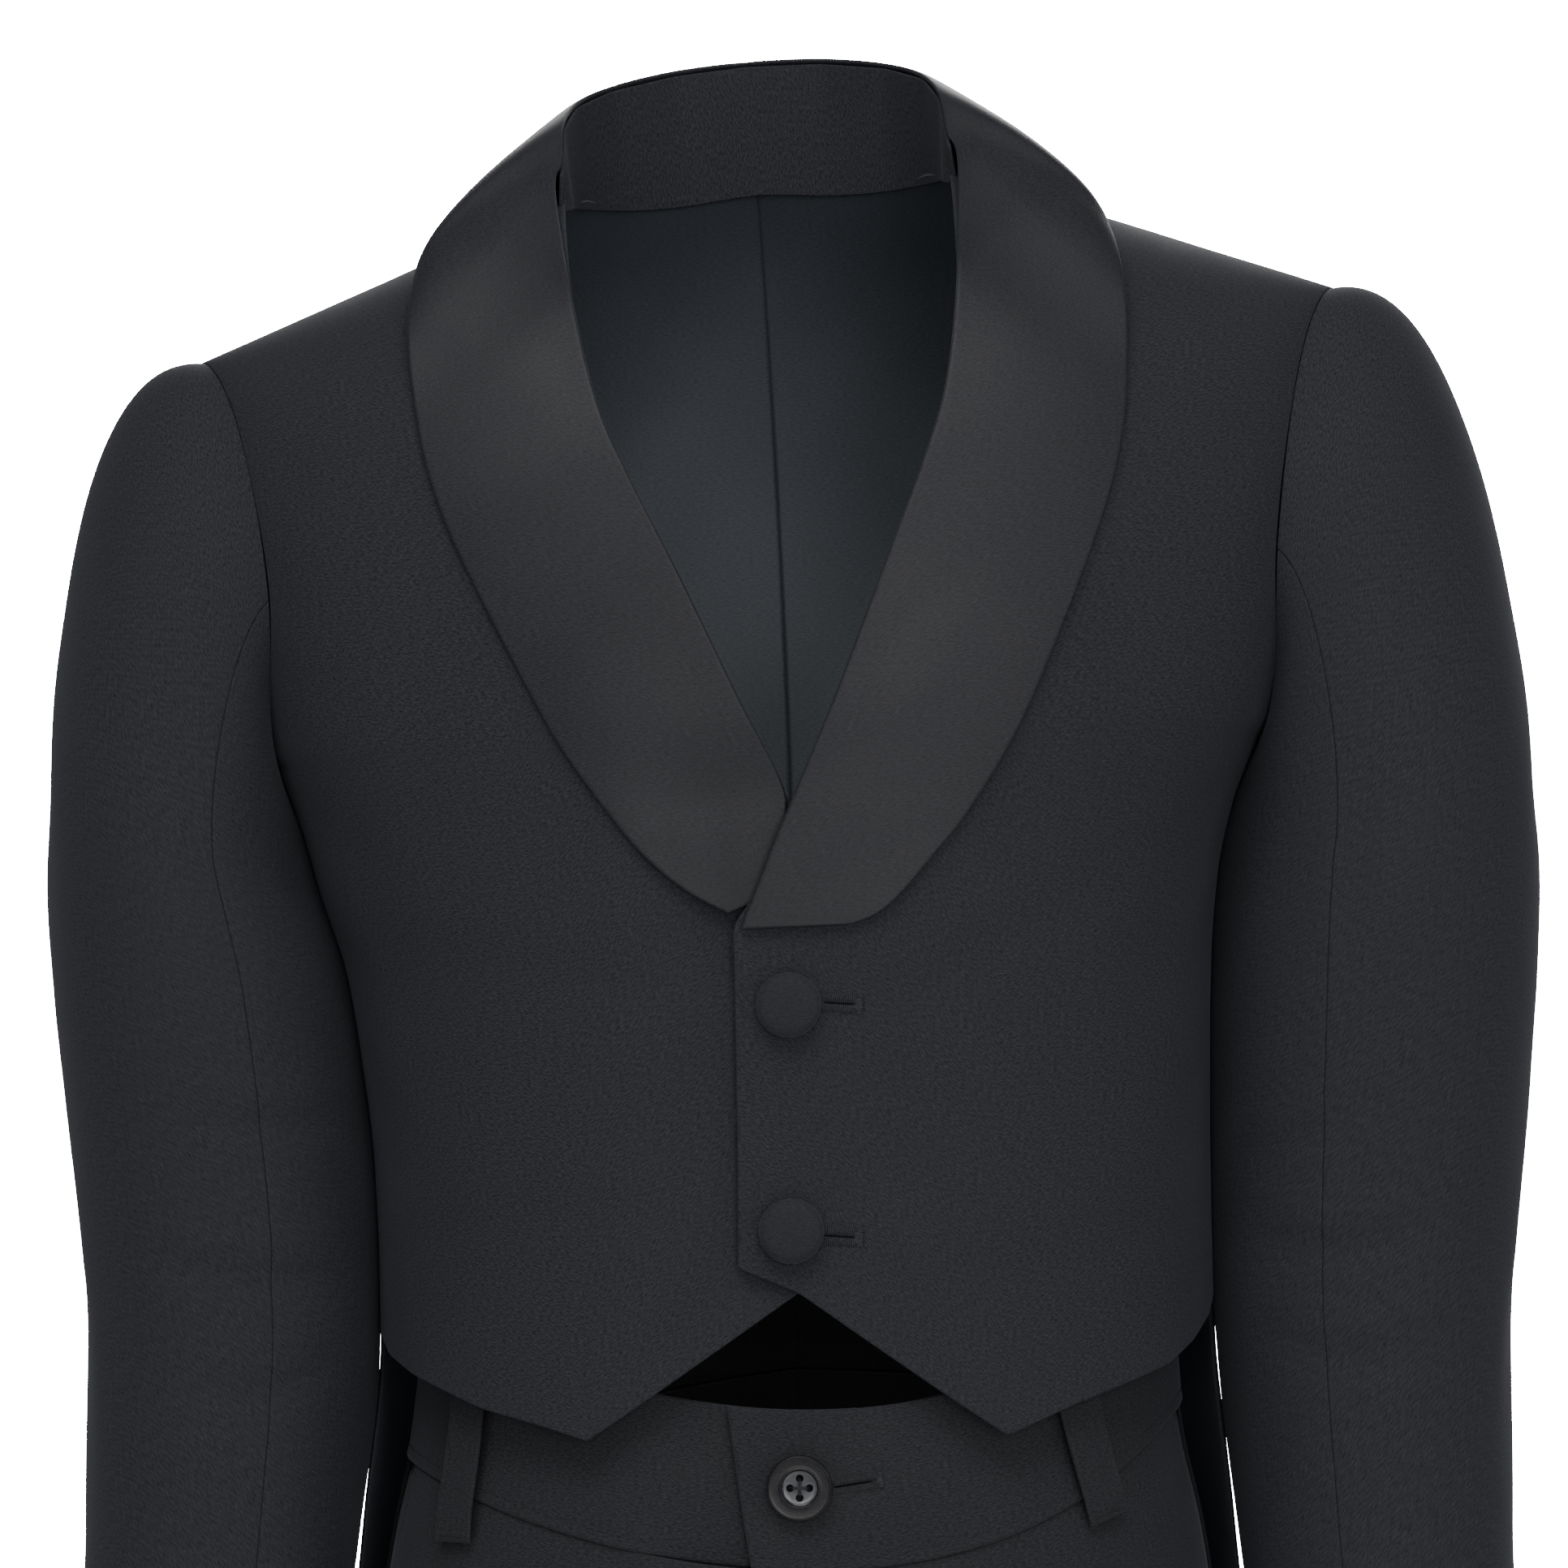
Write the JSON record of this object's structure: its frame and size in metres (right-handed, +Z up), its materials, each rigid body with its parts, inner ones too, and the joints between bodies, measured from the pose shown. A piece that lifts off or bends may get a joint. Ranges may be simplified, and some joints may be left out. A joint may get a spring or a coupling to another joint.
{
  "type": "tailcoat suit",
  "caption": "Boy's tailcoat suit in its worn form: single-breasted tailcoat with a satin shawl collar, and matching trousers.",
  "frame": {"origin": "between the shoulders, at the height where the shoulder line meets the neck, where the wearer's shoulders carry the coat", "axes": "+Z up, +X to the wearer's left, -Y out of the front of the coat"},
  "size_m": [0.3725, 0.1889, 0.9625],
  "materials": {
    "coat_cloth": "matte fine twill",
    "satin": "satin",
    "collar_cloth": "matte",
    "trouser_cloth": "matte fine twill",
    "pocket_cloth": "matte",
    "button_cloth": "matte",
    "horn_button": "semi-matte"
  },
  "bodies": {
    "root": {"coat_front_left": "coat_cloth", "coat_front_right": "coat_cloth", "coat_back_left": "coat_cloth", "coat_back_right": "coat_cloth", "coat_sleeve_top_left": "coat_cloth", "coat_sleeve_top_right": "coat_cloth", "coat_sleeve_under_left": "coat_cloth", "coat_sleeve_under_right": "coat_cloth", "shawl_collar_left": "satin", "shawl_collar_right": "satin", "collar_stand": "collar_cloth", "coat_button_upper": "button_cloth", "coat_button_lower": "button_cloth", "trouser_front_left": "trouser_cloth", "trouser_front_right": "trouser_cloth", "trouser_back_left": "trouser_cloth", "trouser_back_right": "trouser_cloth", "pocket_facing_left": "pocket_cloth", "pocket_facing_right": "pocket_cloth", "waistband_left": "trouser_cloth", "waistband_right": "trouser_cloth", "belt_loop_front_left": "trouser_cloth", "belt_loop_front_right": "trouser_cloth", "belt_loop_back_left": "trouser_cloth", "belt_loop_back_right": "trouser_cloth", "belt_loop_centre_back": "trouser_cloth", "trouser_button": "horn_button"}
  },
  "joints": []
}
